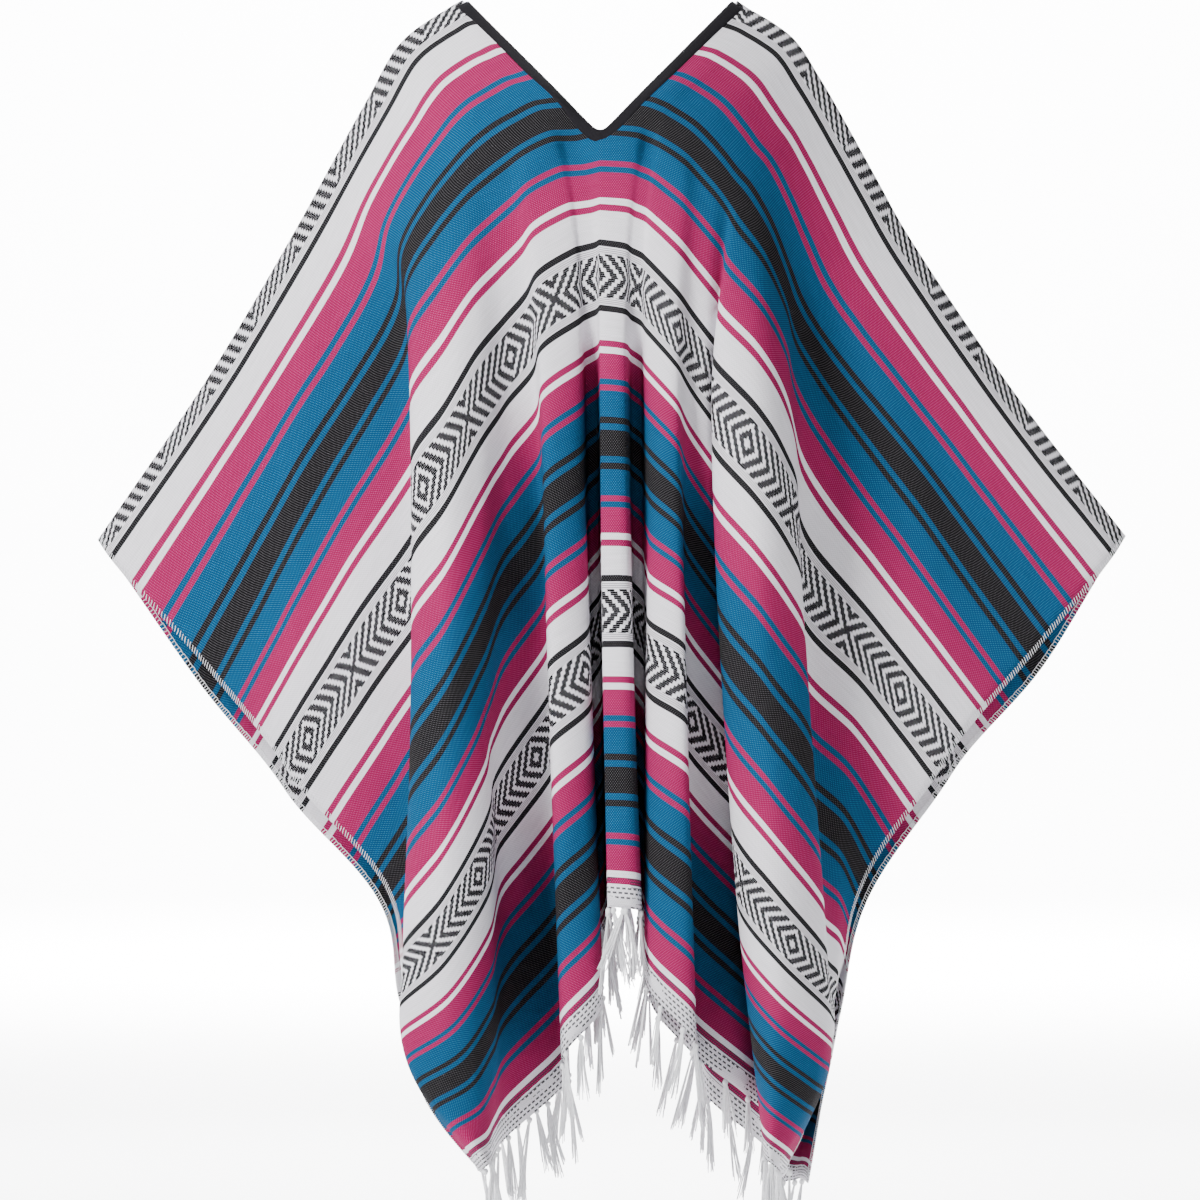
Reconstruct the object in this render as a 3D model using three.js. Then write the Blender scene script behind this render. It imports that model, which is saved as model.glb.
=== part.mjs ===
// A mexican poncho, filled out as if worn: one striped length folded over the shoulders, a V neck with a
// dark binding, and a fringe on each end. Millimetres, +Z up, front towards -Y, origin between the two
// ends of the neck opening, where the shoulders would carry it.
import * as THREE from "three";

// ---------------------------------------------------------------- driving sizes
const HALF_WIDTH = 877;        // centre line to selvage, along the weft
const LENGTH = 1047;           // shoulder fold to hem, along the warp, on the front and on the back
const NECK_HALF = 148;         // half the neck opening at the shoulder fold
const V_DEPTH = 211;           // shoulder fold to the point of the V, on the front and on the back
const BINDING_WIDTH = 12;      // width of the tape round the neck
const SEAM_GAP = 1.8;          // left between two pieces that are sewn together
const CLOTH = 2.2;             // wall of the woven panel
const TAPE = 3;                // wall of the binding
const FRINGE_GAP = 4.1;        // hem to fringe, measured straight down
const FRINGE_LENGTH = 98;      // measured straight down
const FRINGE_LEAN = 0.45;      // how much of its fold's slant it keeps
const FRINGE_WALL = 2.4;
const FOLD_TOP = 54;           // height of the shoulder fold on the centre line, above the neck ends
const NECK_TIP_DEPTH = 118;    // how far the centre line stands in front of the fold at the yoke
const FOLD_CLEAR = 2;          // from the shoulder fold to the start of each half of the cloth
const SHOULDER_ROUND = 35;     // length of cloth that turns over the shoulder fold, each way
const SHOULDER_SINK = 27;      // how far that cloth has come down
const SHOULDER_REACH = 20;     // how far it has come forward
const CORNER_EASE = 0.35;      // how much less it sinks at the selvage
const CORNER_DROP = 10;        // and how much further it drops there

// Heights along the warp at which the folds are laid out, below the shoulder fold.
const YOKE = 182;
const CHEST = 364;
const WAIST = 729;

// Each row is one fold line, from the centre out to the selvage, on one side of the front. At each of the
// four heights it gives x (across), z (height) and d (how far it stands in front of the shoulder fold).
const LEFT_FOLDS = [
  { name: "centre", yoke: [-17, -137, 120], chest: [3, -310, 165], waist: [6, -674, 175], hem: [12, -993, 190] },
  { name: "slit_in", yoke: [-28, -138, 120], chest: [-3, -314, 131], waist: [2, -700, 82], hem: [9, -1036, 50] },
  { name: "slit_out", yoke: [-42, -139, 122], chest: [-15, -318, 127], waist: [-7, -711, 82], hem: [1, -1052, 50] },
  { name: "strip_in", yoke: [-57, -141, 124], chest: [-24, -323, 159], waist: [-12, -742, 165], hem: [2, -1108, 185] },
  { name: "strip_out", yoke: [-84, -154, 126], chest: [-61, -348, 168], waist: [-49, -773, 178], hem: [-35, -1150, 195] },
  { name: "tuck", yoke: [-106, -168, 126], chest: [-73, -373, 142], waist: [-48, -806, 90], hem: [-35, -1192, 62] },
  { name: "shade", yoke: [-128, -185, 126], chest: [-100, -405, 148], waist: [-104, -888, 112], hem: [-97, -1246, 85] },
  { name: "soft", yoke: [-149, -205, 124], chest: [-128, -444, 176], waist: [-121, -946, 182], hem: [-111, -1260, 150] },
  { name: "broad", yoke: [-180, -243, 118], chest: [-164, -509, 192], waist: [-166, -1022, 210], hem: [-114, -1266, 190] },
  { name: "ridge", yoke: [-209, -293, 98], chest: [-200, -561, 165], waist: [-210, -1073, 170], hem: [-117, -1269, 226] },
  { name: "under", yoke: [-214, -359, 62], chest: [-188, -618, 85], waist: [-187, -1089, 115], hem: [-121, -1273, 217] },
  { name: "flap", yoke: [-313, -529, 50], chest: [-257, -722, 75], waist: [-183, -1095, 90], hem: [-123, -1276, 201] },
  { name: "selvage", yoke: [-429, -736, 38], chest: [-339, -849, 60], waist: [-205, -1101, 70], hem: [-125, -1279, 180] },
];
const RIGHT_FOLDS = [
  { name: "centre", yoke: [24, -137, 120], chest: [3, -310, 165], waist: [6, -674, 175], hem: [12, -993, 190] },
  { name: "strip", yoke: [47, -136, 122], chest: [27, -314, 168], waist: [32, -675, 180], hem: [42, -996, 192] },
  { name: "slit_in", yoke: [59, -140, 122], chest: [37, -320, 133], waist: [40, -684, 100], hem: [46, -1013, 80] },
  { name: "slit_out", yoke: [66, -143, 123], chest: [47, -325, 129], waist: [50, -694, 100], hem: [53, -1029, 80] },
  { name: "strip_in", yoke: [71, -146, 125], chest: [55, -334, 158], waist: [57, -727, 168], hem: [57, -1085, 185] },
  { name: "strip_out", yoke: [96, -162, 127], chest: [84, -368, 174], waist: [93, -751, 182], hem: [103, -1134, 200] },
  { name: "tuck", yoke: [112, -177, 127], chest: [99, -390, 150], waist: [95, -784, 110], hem: [108, -1160, 95] },
  { name: "shade", yoke: [132, -199, 126], chest: [119, -418, 146], waist: [143, -845, 92], hem: [161, -1201, 85] },
  { name: "deep", yoke: [145, -216, 124], chest: [130, -434, 136], waist: [165, -884, 58], hem: [194, -1230, 52] },
  { name: "front", yoke: [158, -233, 121], chest: [125, -450, 164], waist: [150, -956, 165], hem: [181, -1261, 140] },
  { name: "broad", yoke: [183, -270, 112], chest: [173, -506, 192], waist: [194, -1016, 205], hem: [186, -1269, 190] },
  { name: "ridge", yoke: [205, -318, 92], chest: [216, -570, 165], waist: [246, -1074, 165], hem: [194, -1276, 178] },
  { name: "under", yoke: [228, -373, 64], chest: [225, -640, 96], waist: [252, -1089, 125], hem: [197, -1281, 150] },
  { name: "flap", yoke: [363, -553, 50], chest: [298, -722, 80], waist: [258, -1098, 100], hem: [200, -1285, 124] },
  { name: "selvage", yoke: [483, -716, 40], chest: [385, -833, 66], waist: [256, -1103, 78], hem: [202, -1288, 98] },
];

// The shoulder fold from the end of the neck opening down over the arm to the selvage, as x and z.
const LEFT_SHOULDER = [[-148, 0], [-215, -47], [-252, -109], [-367, -316], [-472, -485], [-550, -596]];
const RIGHT_SHOULDER = [[148, 0], [213, -41], [243, -84], [387, -335], [510, -499], [582, -592]];

// The back hangs from the same shoulders: its folds are the same number, and a little apart from these.
const BACK_DEPTH = 0.78;       // its depth, as a share of the front's
const BACK_SWAY = 5;           // how far its folds wander from the front's, across
const SWAY_TURN = 1.1;         // radians of that wandering from one fold to the next
const SWAY_START = 1;
// How much further out the back's selvages hang, and how much lower its middle folds hang, at each height.
const BACK_SPREAD = {
  left: { yoke: 8, chest: 8, waist: 8, hem: 8 },
  right: { yoke: 8, chest: 8, waist: 12, hem: 32 },
};
const BACK_SAG = {
  left: { yoke: 0, chest: 0, waist: 0, hem: 0 },
  right: { yoke: 0, chest: 0, waist: 15, hem: 55 },
};
const BACK_DROP = 22;          // how much lower its corners hang

// The outermost folds swing in between the chest and the waist. On the front they swing out again between
// the waist and the hem.
const SWING_IN = { left: 34, right: 18 };
const SWING_OUT = { left: 30, right: 12 };
const SWING_FOLDS = 4;         // the folds that do so, counted in from the selvage

// Mesh density of the panel.
const CELLS_PER_FOLD = 2;      // between one fold line and the next
const CURVE_STEPS = 400;       // steps in which a weft is measured
const ROWS_BY_NECK = 6;        // shoulder fold to the point of the V
const NECK_ROW_SPREAD = 1.3;   // over 1, so that they lie closer near the shoulder fold
const ROWS_BELOW = 14;         // from there to the hem

// ---------------------------------------------------------------- the drape
const sides = { left: -1, right: 1 };
const foldRows = { left: LEFT_FOLDS, right: RIGHT_FOLDS };
const shoulderCurves = {
  left: new THREE.CatmullRomCurve3(LEFT_SHOULDER.map(([x, z]) => new THREE.Vector3(x, 0, z))),
  right: new THREE.CatmullRomCurve3(RIGHT_SHOULDER.map(([x, z]) => new THREE.Vector3(x, 0, z))),
};

// A smooth curve through values at rising stations, which never overshoots a value.
function throughStations(stations, values, at) {
  const count = stations.length;
  let cell = 0;
  while (cell < count - 2 && at > stations[cell + 1]) cell += 1;
  const slope = (i) => (values[i + 1] - values[i]) / (stations[i + 1] - stations[i]);
  const tangent = (i) => {
    if (i === 0) return slope(0);
    if (i === count - 1) return slope(count - 2);
    const before = slope(i - 1);
    const after = slope(i);
    return before * after <= 0 ? 0 : (2 * before * after) / (before + after);
  };
  const step = stations[cell + 1] - stations[cell];
  const t = (at - stations[cell]) / step;
  const rise = t * t * (3 - 2 * t);
  const leave = t * (1 - t) * (1 - t) * step;
  const arrive = t * t * (t - 1) * step;
  return values[cell] * (1 - rise) + values[cell + 1] * rise + tangent(cell) * leave + tangent(cell + 1) * arrive;
}

// A V as wide and deep as given: half its width at a distance v from the shoulder fold. Here and below,
// v is negative on the back.
function halfOfV(v, opening) {
  return Math.max(0, opening.half * (1 - Math.abs(v) / opening.depth));
}

// The neck opening, or one cut this much wider all round.
function neckCut(margin) {
  const slant = Math.hypot(NECK_HALF, V_DEPTH);
  return { half: NECK_HALF + (margin * slant) / V_DEPTH, depth: V_DEPTH + (margin * slant) / NECK_HALF };
}

function openingAt(v) {
  return halfOfV(v, neckCut(0));
}

// The inner end of a weft: on the edge of the neck, or on the centre line below it.
function weftStart(side, v) {
  const centre = LEFT_FOLDS[0];
  const down = Math.abs(v);
  const stations = [0, YOKE, CHEST, WAIST, LENGTH];
  const depths = [0, NECK_TIP_DEPTH, centre.chest[2], centre.waist[2], centre.hem[2]];
  const ahead = throughStations(stations, depths, down);
  const level = throughStations([CHEST, WAIST, LENGTH], [centre.chest[0], centre.waist[0], centre.hem[0]],
    Math.max(down, CHEST));
  const depth = v >= 0 ? -ahead : ahead * BACK_DEPTH;
  const across = level + sides[side] * openingAt(v);
  return new THREE.Vector3(across, depth, FOLD_TOP * Math.min(1, down / V_DEPTH) - down);
}

// One fold line's point at one height, as [x, z, d]; the back's is moved a little.
function foldPoint(side, index, height, onBack) {
  const rows = foldRows[side];
  const [x, z, d] = rows[index][height];
  if (!onBack) return [x, z, d];
  const share = index / (rows.length - 1);
  const sway = BACK_SWAY * Math.sin(SWAY_TURN * index + SWAY_START) * (1 - share);
  const across = x + sway + sides[side] * BACK_SPREAD[side][height] * share;
  const sag = BACK_SAG[side][height] * Math.sin(Math.PI * share) ** 2;
  return [across, z - BACK_DROP * share * share - sag, d * BACK_DEPTH];
}

// How far outwards a fold is carried at v by the swing of the outermost folds.
function swing(side, index, v) {
  const down = Math.abs(v);
  const last = foldRows[side].length - 1;
  const rank = Math.max(0, index - (last - SWING_FOLDS)) / SWING_FOLDS;
  const inward = Math.min(1, Math.max(0, (down - CHEST) / (WAIST - CHEST)));
  const outward = Math.min(1, Math.max(0, (down - WAIST) / (LENGTH - WAIST)));
  const held = SWING_IN[side] * Math.sin(Math.PI * inward) ** 2 * rank ** 2;
  const freed = v < 0 ? 0 : SWING_OUT[side] * Math.sin(Math.PI * outward) * Math.min(1, 2 * rank);
  return sides[side] * (freed - held);
}

// How far along the weft, from the centre line, each fold line starts at the shoulder.
function startsAlong(side, onBack) {
  const rows = foldRows[side];
  const points = rows.map((row, index) => {
    const [x, z, d] = foldPoint(side, index, "yoke", onBack);
    return new THREE.Vector3(x, d, z);
  });
  const along = [0];
  for (let i = 1; i < points.length; i += 1) along.push(along[i - 1] + points[i].distanceTo(points[i - 1]));
  const total = along[along.length - 1];
  return along.map((distance) => NECK_HALF + (HALF_WIDTH - NECK_HALF) * (distance / total));
}

const shoulderStarts = {
  left: [startsAlong("left", false), startsAlong("left", true)],
  right: [startsAlong("right", false), startsAlong("right", true)],
};

// The points that one weft passes through, v from the shoulder fold.
function weftControls(side, v) {
  const rows = foldRows[side];
  const onBack = v < 0;
  const stations = [0, SHOULDER_ROUND, YOKE, CHEST, WAIST, LENGTH];
  const points = [weftStart(side, v)];
  for (let index = 1; index < rows.length; index += 1) {
    const start = shoulderStarts[side][onBack ? 1 : 0][index];
    const share = (start - NECK_HALF) / (HALF_WIDTH - NECK_HALF);
    const top = shoulderCurves[side].getPointAt(share);
    const run = shoulderCurves[side].getTangentAt(share);
    const inward = new THREE.Vector3(sides[side] * run.z, 0, -sides[side] * run.x);
    const round = top.clone().addScaledVector(inward, SHOULDER_SINK * (1 - CORNER_EASE * share));
    round.z -= CORNER_DROP * share;
    const levels = ["yoke", "chest", "waist", "hem"].map((height) => foldPoint(side, index, height, onBack));
    const x = throughStations(stations, [top.x, round.x, ...levels.map((p) => p[0])], Math.abs(v));
    const z = throughStations(stations, [top.z, round.z, ...levels.map((p) => p[1])], Math.abs(v));
    const d = throughStations(stations, [0, SHOULDER_REACH, ...levels.map((p) => p[2])], Math.abs(v));
    points.push(new THREE.Vector3(x + swing(side, index, v), onBack ? d : -d, z));
  }
  return points;
}

// The weft at v as a curve that starts at u from the centre line. Columns run from 0 at that start to the
// selvage, and whole steps of them fall on the fold lines, so that each crest is one clean line.
function weft(side, v) {
  const curve = new THREE.CatmullRomCurve3(weftControls(side, v), false, "centripetal");
  curve.arcLengthDivisions = CURVE_STEPS;
  const inner = openingAt(v);
  const spans = curve.points.length - 1;
  const at = (u) => curve.getPointAt(THREE.MathUtils.clamp((u - inner) / (HALF_WIDTH - inner), 0, 1));
  const onFolds = (column, columns, start) => {
    const first = start > inner ? curve.getUtoTmapping((start - inner) / (HALF_WIDTH - inner)) : 0;
    const squeeze = Math.max(0, 1 - (column / columns) * (spans / 3));
    const t = column / columns;
    return curve.getPoint(t + first * squeeze);
  };
  return { at, onFolds };
}

// ---------------------------------------------------------------- walls
// A closed wall of even thickness on a sheet of shared points and triangles.
function wall(points, triangles, thickness) {
  const normals = points.map(() => new THREE.Vector3());
  const edges = new Map();
  for (const [a, b, c] of triangles) {
    const face = points[b].clone().sub(points[a]).cross(points[c].clone().sub(points[a]));
    for (const corner of [a, b, c]) normals[corner].add(face);
    for (const [from, to] of [[a, b], [b, c], [c, a]]) edges.set(`${from},${to}`, [from, to]);
  }
  const position = [];
  for (const shift of [thickness / 2, -thickness / 2]) {
    points.forEach((point, i) => {
      const moved = point.clone().addScaledVector(normals[i].clone().normalize(), shift);
      position.push(moved.x, moved.y, moved.z);
    });
  }
  const count = points.length;
  const index = [];
  for (const [a, b, c] of triangles) index.push(a, b, c, count + a, count + c, count + b);
  for (const [from, to] of edges.values()) {
    if (!edges.has(`${to},${from}`)) index.push(from, count + from, to, to, count + from, count + to);
  }
  const geometry = new THREE.BufferGeometry();
  geometry.setAttribute("position", new THREE.Float32BufferAttribute(position, 3));
  geometry.setIndex(index);
  geometry.computeVertexNormals();
  return geometry;
}

// Adds a grid of points to a sheet, sharing those that are already there, with faces towards the front.
function addGrid(sheet, rowCount, columnCount, pointAt, flip) {
  const key = (p) => `${p.x.toFixed(3)},${p.y.toFixed(3)},${p.z.toFixed(3)}`;
  const ids = [];
  for (let row = 0; row < rowCount; row += 1) {
    const line = [];
    for (let column = 0; column < columnCount; column += 1) {
      const point = pointAt(row, column);
      const name = key(point);
      if (!sheet.known.has(name)) {
        sheet.known.set(name, sheet.points.length);
        sheet.points.push(point);
      }
      line.push(sheet.known.get(name));
    }
    ids.push(line);
  }
  for (let row = 0; row + 1 < rowCount; row += 1) {
    for (let column = 0; column + 1 < columnCount; column += 1) {
      const [a, b] = [ids[row][column], ids[row][column + 1]];
      const [c, d] = [ids[row + 1][column + 1], ids[row + 1][column]];
      const pair = flip ? [[a, b, c], [a, c, d]] : [[a, c, b], [a, d, c]];
      for (const triangle of pair) if (new Set(triangle).size === 3) sheet.triangles.push(triangle);
    }
  }
}

function newSheet() {
  return { points: [], triangles: [], known: new Map() };
}

// ---------------------------------------------------------------- the woven cloth
const panelNeck = neckCut(BINDING_WIDTH + SEAM_GAP);

// How far down the V a row lies, as a share of its depth; the rows are closest at the shoulder fold.
function downNeck(step) {
  return (step / ROWS_BY_NECK) ** NECK_ROW_SPREAD;
}

// Distances of one half's rows from the shoulder fold, down to its hem.
function rowHeights(end) {
  const front = [FOLD_CLEAR];
  for (let i = 1; i <= ROWS_BY_NECK; i += 1) front.push(panelNeck.depth * downNeck(i));
  for (let i = 1; i <= ROWS_BELOW; i += 1) {
    front.push(panelNeck.depth + ((LENGTH - panelNeck.depth) * i) / ROWS_BELOW);
  }
  return end > 0 ? front : front.map((v) => -v).reverse();
}

// One half of the cloth, the front or the back. The two halves are one length, folded over the shoulders,
// and each stops just short of the fold line, so that they are two plain hanging walls.
function wovenHalf(end) {
  const sheet = newSheet();
  const rows = rowHeights(end);
  for (const side of Object.keys(sides)) {
    const curves = rows.map((v) => weft(side, v));
    const columns = CELLS_PER_FOLD * (foldRows[side].length - 1);
    const place = (row, column) => {
      return curves[row].onFolds(column, columns, halfOfV(rows[row], panelNeck));
    };
    addGrid(sheet, rows.length, columns + 1, place, side === "right");
  }
  return wall(sheet.points, sheet.triangles, CLOTH);
}

// ---------------------------------------------------------------- the binding round the neck
// A ring of tape: its inner edge is the neck opening, and its outer edge stops short of the panel.
function neckBinding() {
  const sheet = newSheet();
  const edges = [neckCut(0), neckCut(BINDING_WIDTH)];
  for (const side of Object.keys(sides)) {
    const place = (row, column) => {
      const step = row - ROWS_BY_NECK;
      const v = Math.sign(step) * edges[column].depth * downNeck(Math.abs(step));
      return weft(side, v).at(halfOfV(v, edges[column]));
    };
    addGrid(sheet, 2 * ROWS_BY_NECK + 1, 2, place, side === "right");
  }
  return wall(sheet.points, sheet.triangles, TAPE);
}

// ---------------------------------------------------------------- the fringes
// The reach of one end's fringe. It hangs from the hem and leans a little the way each fold does.
function fringe(end) {
  const sheet = newSheet();
  for (const side of Object.keys(sides)) {
    const hem = weft(side, end * LENGTH);
    const above = weft(side, end * (LENGTH - FRINGE_LENGTH));
    const columns = CELLS_PER_FOLD * (foldRows[side].length - 1);
    const place = (row, column) => {
      const point = hem.onFolds(column, columns, 0);
      const fall = point.clone().sub(above.onFolds(column, columns, 0));
      fall.multiply(new THREE.Vector3(FRINGE_LEAN, FRINGE_LEAN, 1));
      return point.addScaledVector(fall, (FRINGE_GAP + row * FRINGE_LENGTH) / -fall.z);
    };
    const facing = end > 0 ? side === "right" : side === "left";
    addGrid(sheet, 2, columns + 1, place, facing);
  }
  return wall(sheet.points, sheet.triangles, FRINGE_WALL);
}

// ---------------------------------------------------------------- export
function named(name, geometry, color, roughness) {
  const mesh = new THREE.Mesh(geometry, new THREE.MeshStandardMaterial({ color, roughness, metalness: 0 }));
  mesh.name = name;
  return mesh;
}

const poncho = new THREE.Group();
poncho.add(named("woven_front", wovenHalf(1), 0xd8d6da, 0.9));
poncho.add(named("woven_back", wovenHalf(-1), 0xd8d6da, 0.9));
poncho.add(named("neck_binding", neckBinding(), 0x161418, 0.75));
poncho.add(named("fringe_front", fringe(1), 0xe4e2e0, 0.95));
poncho.add(named("fringe_back", fringe(-1), 0xe4e2e0, 0.95));
export default poncho;
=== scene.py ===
# %% [markdown]
# # A striped poncho, filled out as if worn
# The poncho is one straight length of hand-woven cloth. It is folded over the shoulders, a V is cut out for
# the head, the cut is bound with a dark tape, and the two ends are left as a fringe. The measured model is
# loaded first, as a frame that says where everything is. Each soft piece is then made fine enough to look
# like cloth, and takes the place of its plain solid.

# %% Load the measured frame
import math

import bmesh
import bpy
import numpy as np
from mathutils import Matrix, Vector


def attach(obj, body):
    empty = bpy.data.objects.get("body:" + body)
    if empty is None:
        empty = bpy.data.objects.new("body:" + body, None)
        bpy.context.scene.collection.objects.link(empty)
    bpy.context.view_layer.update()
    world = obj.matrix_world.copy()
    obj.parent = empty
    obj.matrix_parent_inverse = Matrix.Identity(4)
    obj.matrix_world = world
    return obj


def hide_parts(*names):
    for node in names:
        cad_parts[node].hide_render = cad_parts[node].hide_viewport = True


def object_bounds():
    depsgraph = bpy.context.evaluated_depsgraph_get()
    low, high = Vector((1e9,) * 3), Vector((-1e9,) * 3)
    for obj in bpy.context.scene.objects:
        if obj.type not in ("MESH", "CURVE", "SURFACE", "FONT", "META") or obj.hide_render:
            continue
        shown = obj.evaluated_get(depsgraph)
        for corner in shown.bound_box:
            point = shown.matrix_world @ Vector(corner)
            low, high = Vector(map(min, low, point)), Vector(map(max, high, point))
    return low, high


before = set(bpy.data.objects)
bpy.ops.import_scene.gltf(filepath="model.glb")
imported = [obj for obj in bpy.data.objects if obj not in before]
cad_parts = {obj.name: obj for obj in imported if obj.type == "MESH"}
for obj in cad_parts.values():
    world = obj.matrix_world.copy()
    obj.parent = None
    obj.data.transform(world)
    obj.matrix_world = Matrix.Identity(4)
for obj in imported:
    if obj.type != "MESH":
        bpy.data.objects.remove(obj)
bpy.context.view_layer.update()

print("the frame holds", sorted(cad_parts))

# %% [markdown]
# ## The cut and the folds
# Cloth can't be guessed point by point. A weaver knows two numbers for each spot on it: `u`, how far it lies
# from the centre line along the weft, and `v`, how far from the shoulder fold along the warp. The drape is a
# rule that turns (u, v) into a place in space, so the stripes, which are lines of equal `v`, run over the
# folds by themselves. Below are the cut's sizes, and one short row for each fold line, from the centre out to
# the selvage, at four heights: how far across it is, how high, and how far in front of the shoulder fold.

# %% Sizes of the cut, in metres
HALF_WIDTH = 0.877
LENGTH = 1.047
NECK_HALF = 0.148
V_DEPTH = 0.211
BINDING_WIDTH = 0.012
FRINGE_LENGTH = 0.098
FOLD_TOP, NECK_TIP_DEPTH = 0.054, 0.118
SHOULDER_ROUND, SHOULDER_SINK, SHOULDER_REACH = 0.035, 0.027, 0.020
YOKE, CHEST, WAIST = 0.182, 0.364, 0.729
BACK_DEPTH, BACK_SWAY, BACK_DROP = 0.78, 0.005, 0.022
MM = 0.001

# %% The fold lines of the front, in millimetres: (across, height, in front) at each height
HEIGHTS = ("yoke", "chest", "waist", "hem")
FOLDS = {
    "left": [
        ("centre", (-17, -137, 120), (3, -310, 165), (6, -674, 175), (12, -993, 190)),
        ("slit_in", (-28, -138, 120), (-3, -314, 131), (2, -700, 82), (9, -1036, 50)),
        ("slit_out", (-42, -139, 122), (-15, -318, 127), (-7, -711, 82), (1, -1052, 50)),
        ("strip_in", (-57, -141, 124), (-24, -323, 159), (-12, -742, 165), (2, -1108, 185)),
        ("strip_out", (-84, -154, 126), (-61, -348, 168), (-49, -773, 178), (-35, -1150, 195)),
        ("tuck", (-106, -168, 126), (-73, -373, 142), (-48, -806, 90), (-35, -1192, 62)),
        ("shade", (-128, -185, 126), (-100, -405, 148), (-104, -888, 112), (-97, -1246, 85)),
        ("soft", (-149, -205, 124), (-128, -444, 176), (-121, -946, 182), (-111, -1260, 150)),
        ("broad", (-180, -243, 118), (-164, -509, 192), (-166, -1022, 210), (-114, -1266, 190)),
        ("ridge", (-209, -293, 98), (-200, -561, 165), (-210, -1073, 170), (-117, -1269, 226)),
        ("under", (-214, -359, 62), (-188, -618, 85), (-187, -1089, 115), (-121, -1273, 217)),
        ("flap", (-313, -529, 50), (-257, -722, 75), (-183, -1095, 90), (-123, -1276, 201)),
        ("selvage", (-429, -736, 38), (-339, -849, 60), (-205, -1101, 70), (-125, -1279, 180)),
    ],
    "right": [
        ("centre", (24, -137, 120), (3, -310, 165), (6, -674, 175), (12, -993, 190)),
        ("strip", (47, -136, 122), (27, -314, 168), (32, -675, 180), (42, -996, 192)),
        ("slit_in", (59, -140, 122), (37, -320, 133), (40, -684, 100), (46, -1013, 80)),
        ("slit_out", (66, -143, 123), (47, -325, 129), (50, -694, 100), (53, -1029, 80)),
        ("strip_in", (71, -146, 125), (55, -334, 158), (57, -727, 168), (57, -1085, 185)),
        ("strip_out", (96, -162, 127), (84, -368, 174), (93, -751, 182), (103, -1134, 200)),
        ("tuck", (112, -177, 127), (99, -390, 150), (95, -784, 110), (108, -1160, 95)),
        ("shade", (132, -199, 126), (119, -418, 146), (143, -845, 92), (161, -1201, 85)),
        ("deep", (145, -216, 124), (130, -434, 136), (165, -884, 58), (194, -1230, 52)),
        ("front", (158, -233, 121), (125, -450, 164), (150, -956, 165), (181, -1261, 140)),
        ("broad", (183, -270, 112), (173, -506, 192), (194, -1016, 205), (186, -1269, 190)),
        ("ridge", (205, -318, 92), (216, -570, 165), (246, -1074, 165), (194, -1276, 178)),
        ("under", (228, -373, 64), (225, -640, 96), (252, -1089, 125), (197, -1281, 150)),
        ("flap", (363, -553, 50), (298, -722, 80), (258, -1098, 100), (200, -1285, 124)),
        ("selvage", (483, -716, 40), (385, -833, 66), (256, -1103, 78), (202, -1288, 98)),
    ],
}
SHOULDERS = {
    "left": ((-148, 0), (-215, -47), (-252, -109), (-367, -316), (-472, -485), (-550, -596)),
    "right": ((148, 0), (213, -41), (243, -84), (387, -335), (510, -499), (582, -592)),
}
SIGN = {"left": -1, "right": 1}
# How far the four outermost folds swing in between chest and waist. Only the front's swing out again below.
SWING_IN, SWING_OUT, SWING_FOLDS = {"left": 34, "right": 18}, {"left": 30, "right": 12}, 4
CORNER_EASE, CORNER_DROP = 0.35, 0.010
# How much further out the back's selvages hang, and how much lower its middle folds, at the four heights.
BACK_SPREAD = {"left": (8, 8, 8, 8), "right": (8, 8, 12, 32)}
BACK_SAG = {"left": (0, 0, 0, 0), "right": (0, 0, 15, 55)}
for side, rows in FOLDS.items():
    print(side, "has", len(rows), "fold lines")

# %% [markdown]
# ## Two curves
# Down the cloth, values pass through their stations without overshooting, so a fold never bulges between two
# heights. Across the cloth, each weft is a smooth spline through the fold lines, in the centripetal form,
# which makes no loops where two folds lie close together.

# %% Curves down and across the cloth
def through_stations(stations, values, at):
    """values has one row for each station; returns the value at each of `at`."""
    stations, values, at = np.array(stations), np.array(values, float), np.atleast_1d(at)
    steps = np.diff(stations)
    slopes = np.diff(values) / steps
    before, after = slopes[:-1], slopes[1:]
    agree = before * after > 0
    inner = np.where(agree, 2 * before * after / np.where(agree, before + after, 1), 0)
    tangents = np.concatenate([slopes[:1], inner, slopes[-1:]])
    cell = np.clip(np.searchsorted(stations, at, side="left") - 1, 0, len(steps) - 1)
    t = (at - stations[cell]) / steps[cell]
    rise = t * t * (3 - 2 * t)
    leave = t * (1 - t) ** 2 * steps[cell]
    arrive = t * t * (t - 1) * steps[cell]
    bend = tangents[cell] * leave + tangents[cell + 1] * arrive
    return values[cell] * (1 - rise) + values[cell + 1] * rise + bend


def spline(points, at):
    """A centripetal spline through the points, at positions counted in points from 0."""
    points = np.asarray(points, float)
    padded = np.vstack([2 * points[0] - points[1], points, 2 * points[-1] - points[-2]])
    spans = np.maximum(np.linalg.norm(np.diff(padded, axis=0), axis=1) ** 0.5, 1e-4)
    at = np.clip(at, 0, len(points) - 1)
    cell = np.minimum(at.astype(int), len(points) - 2)
    t = (at - cell)[:, None]
    p0, p1, p2, p3 = (padded[cell + k] for k in range(4))
    d0, d1, d2 = (spans[cell + k][:, None] for k in range(3))
    leave = ((p1 - p0) / d0 - (p2 - p0) / (d0 + d1) + (p2 - p1) / d1) * d1
    arrive = ((p2 - p1) / d1 - (p3 - p1) / (d1 + d2) + (p3 - p2) / d2) * d1
    return (
        p1
        + leave * t
        + (3 * (p2 - p1) - 2 * leave - arrive) * t**2
        + (2 * (p1 - p2) + leave + arrive) * t**3
    )


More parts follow.
